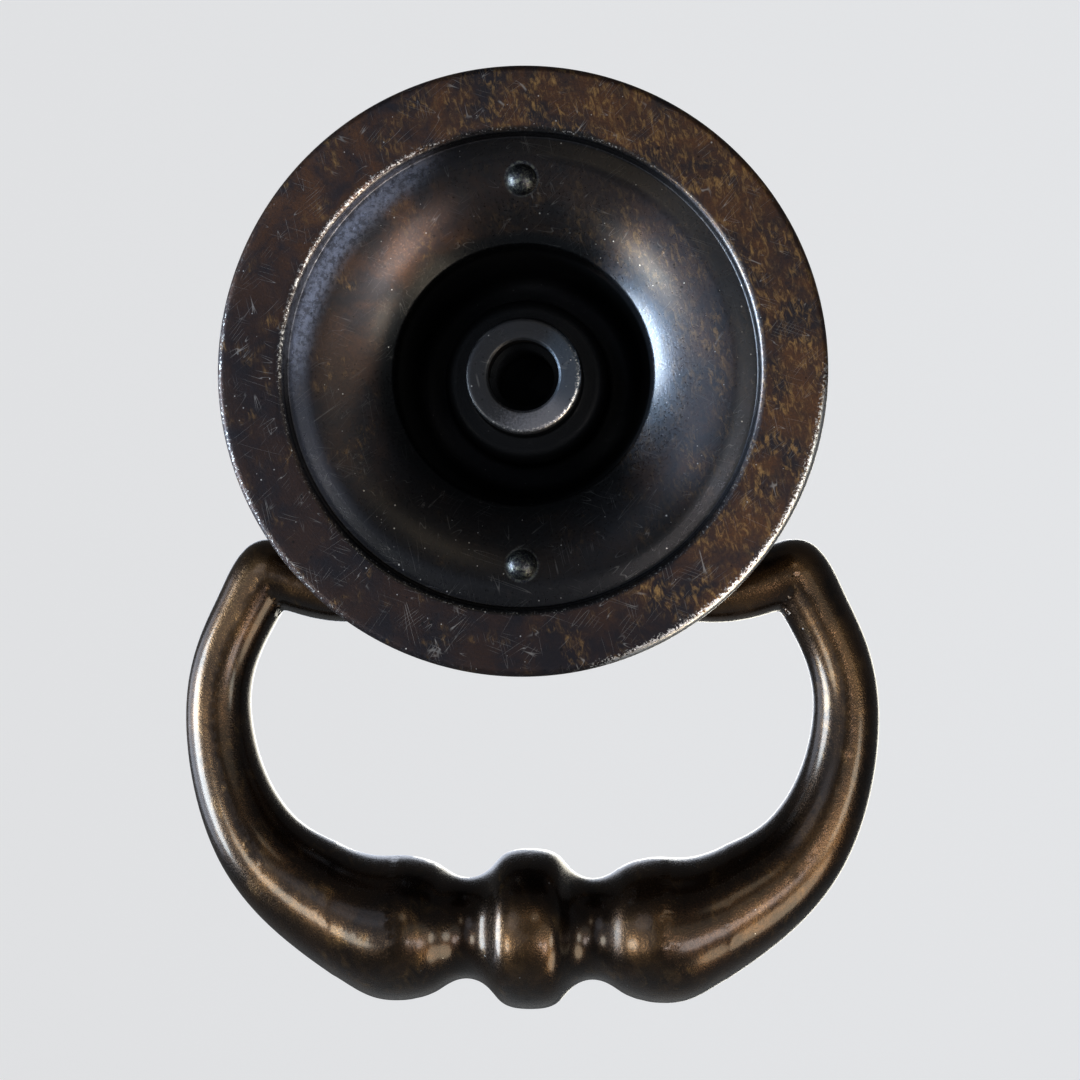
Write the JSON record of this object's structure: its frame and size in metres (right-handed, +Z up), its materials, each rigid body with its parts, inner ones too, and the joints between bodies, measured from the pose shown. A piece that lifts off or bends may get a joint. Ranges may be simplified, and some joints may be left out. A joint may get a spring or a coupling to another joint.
{
  "type": "drop pull",
  "caption": "Drawer drop pull: a round hollow-backed plate with a threaded screw boss, and a hanging bail with a turned grip that swings on a knuckle.",
  "frame": {"origin": "centre of the flat rim on the plate's back, on the screw's axis, in the plane of the drawer's face", "axes": "+Y into the drawer along the screw, -Y out towards the room, +Z up, +X along the hinge line; the bail hangs towards -Z"},
  "size_m": [0.053, 0.0205, 0.0682],
  "materials": {
    "plate_brass": "dark antiqued patina, worn on the edges",
    "bail_brass": "dark antiqued patina, rubbed glossy where it is held"
  },
  "bodies": {
    "plate": {"backplate": "plate_brass"},
    "bail": {"bail": "bail_brass"}
  },
  "joints": [
    {"name": "bail_swing", "type": "hinge", "parent": "plate", "child": "bail", "pos_m": [0, -0.0145, -0.0158], "axis": [-1, 0, 0], "range_deg": [-19, 160]}
  ]
}
